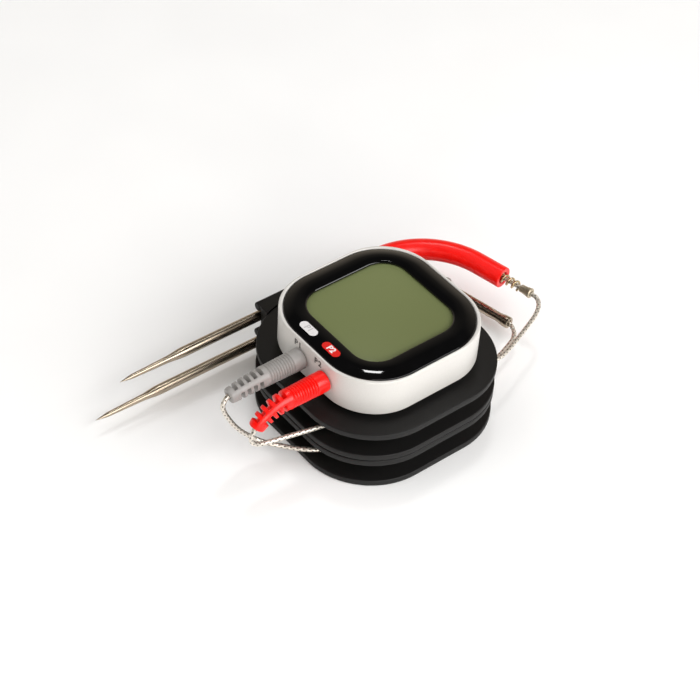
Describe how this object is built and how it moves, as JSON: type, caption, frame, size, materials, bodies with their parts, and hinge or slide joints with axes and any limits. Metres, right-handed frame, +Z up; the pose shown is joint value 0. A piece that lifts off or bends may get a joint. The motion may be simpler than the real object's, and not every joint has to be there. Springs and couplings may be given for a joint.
{
  "type": "meat thermometer",
  "caption": "Display unit standing on stacked cable reels, with wired L-shaped meat probes clipped along one side and plugged into its front.",
  "frame": {"origin": "centre of the lower reel's underside, on the surface that the object stands on", "axes": "+Z up, -Y towards the sockets and plugs, the needles lie along Y on the -X side with their points towards -Y"},
  "size_m": [0.0896, 0.1706, 0.0461],
  "materials": {
    "silver_paint": "satin silver-white paint on moulded plastic",
    "black_gloss": "polished black",
    "lcd_olive": "smooth olive-green display glass",
    "white_plastic": "plain moulded",
    "component_black": "plain moulded",
    "board_green": "solder-resist coated",
    "polished_steel": "polished stainless steel",
    "black_plastic": "fine-textured moulded",
    "cell_wrap": "plain printed film over steel",
    "red_silicone": "smooth silicone rubber",
    "grey_silicone": "smooth silicone rubber",
    "plug_brass": "plated and turned",
    "braided_steel": "woven stainless-steel wire"
  },
  "bodies": {
    "base": {"back_cover": "black_plastic", "battery_cell_1": "cell_wrap", "battery_cell_2": "cell_wrap", "battery_cover": "black_plastic", "battery_plate_1": "polished_steel", "battery_plate_2": "polished_steel", "battery_spring_1": "polished_steel", "battery_spring_2": "polished_steel", "buzzer": "component_black", "case_screw_1": "polished_steel", "case_screw_2": "polished_steel", "case_screw_3": "polished_steel", "circuit_board": "board_green", "display_magnet": "polished_steel", "front_case": "silver_paint", "grey_cable_winding": "braided_steel", "lcd_backlight": "white_plastic", "lcd_contact_strip": "component_black", "lcd_frame": "white_plastic", "lcd_glass": "lcd_olive", "lens": "black_gloss", "lower_probe_clip": "black_plastic", "lower_reel_base": "black_plastic", "lower_reel_screw_1": "polished_steel", "lower_reel_screw_2": "polished_steel", "lower_reel_screw_3": "polished_steel", "lower_reel_steel_disc": "polished_steel", "lower_reel_top": "black_plastic", "p1_socket": "component_black", "p2_socket": "component_black", "power_switch": "component_black", "radio_module": "polished_steel", "red_cable_winding": "braided_steel", "upper_probe_clip": "black_plastic", "upper_reel_base": "black_plastic", "upper_reel_magnet": "polished_steel", "upper_reel_screw_1": "polished_steel", "upper_reel_screw_2": "polished_steel", "upper_reel_screw_3": "polished_steel", "upper_reel_steel_disc": "polished_steel", "upper_reel_top": "black_plastic"},
    "grey_plug": {"grey_plug_boot": "grey_silicone", "grey_plug_pin": "plug_brass", "grey_cable_lead": "braided_steel"},
    "red_plug": {"red_plug_boot": "red_silicone", "red_plug_pin": "plug_brass", "red_cable_lead": "braided_steel"},
    "grey_probe": {"grey_probe_needle": "polished_steel", "grey_probe_sleeve": "grey_silicone", "grey_cable_tail": "braided_steel"},
    "red_probe": {"red_probe_needle": "polished_steel", "red_probe_sleeve": "red_silicone", "red_probe_spring": "polished_steel", "red_probe_ferrule": "polished_steel", "red_cable_tail": "braided_steel"},
    "power_button": {"power_button": "black_plastic"}
  },
  "joints": [
    {"name": "grey_plug_pull", "type": "slide", "parent": "base", "child": "grey_plug", "axis": [0, -1, 0], "range_m": [0, 0.011]},
    {"name": "red_plug_pull", "type": "slide", "parent": "base", "child": "red_plug", "axis": [0, -1, 0], "range_m": [0, 0.011]},
    {"name": "grey_probe_slide", "type": "slide", "parent": "base", "child": "grey_probe", "axis": [0, 1, 0], "range_m": [0, 0.03]},
    {"name": "red_probe_slide", "type": "slide", "parent": "base", "child": "red_probe", "axis": [0, 1, 0], "range_m": [0, 0.03]},
    {"name": "power_button_press", "type": "slide", "parent": "base", "child": "power_button", "axis": [0, -1, 0], "range_m": [0, 0.0008], "stiffness_N_per_m": 500, "springref_m": -0.0004}
  ]
}
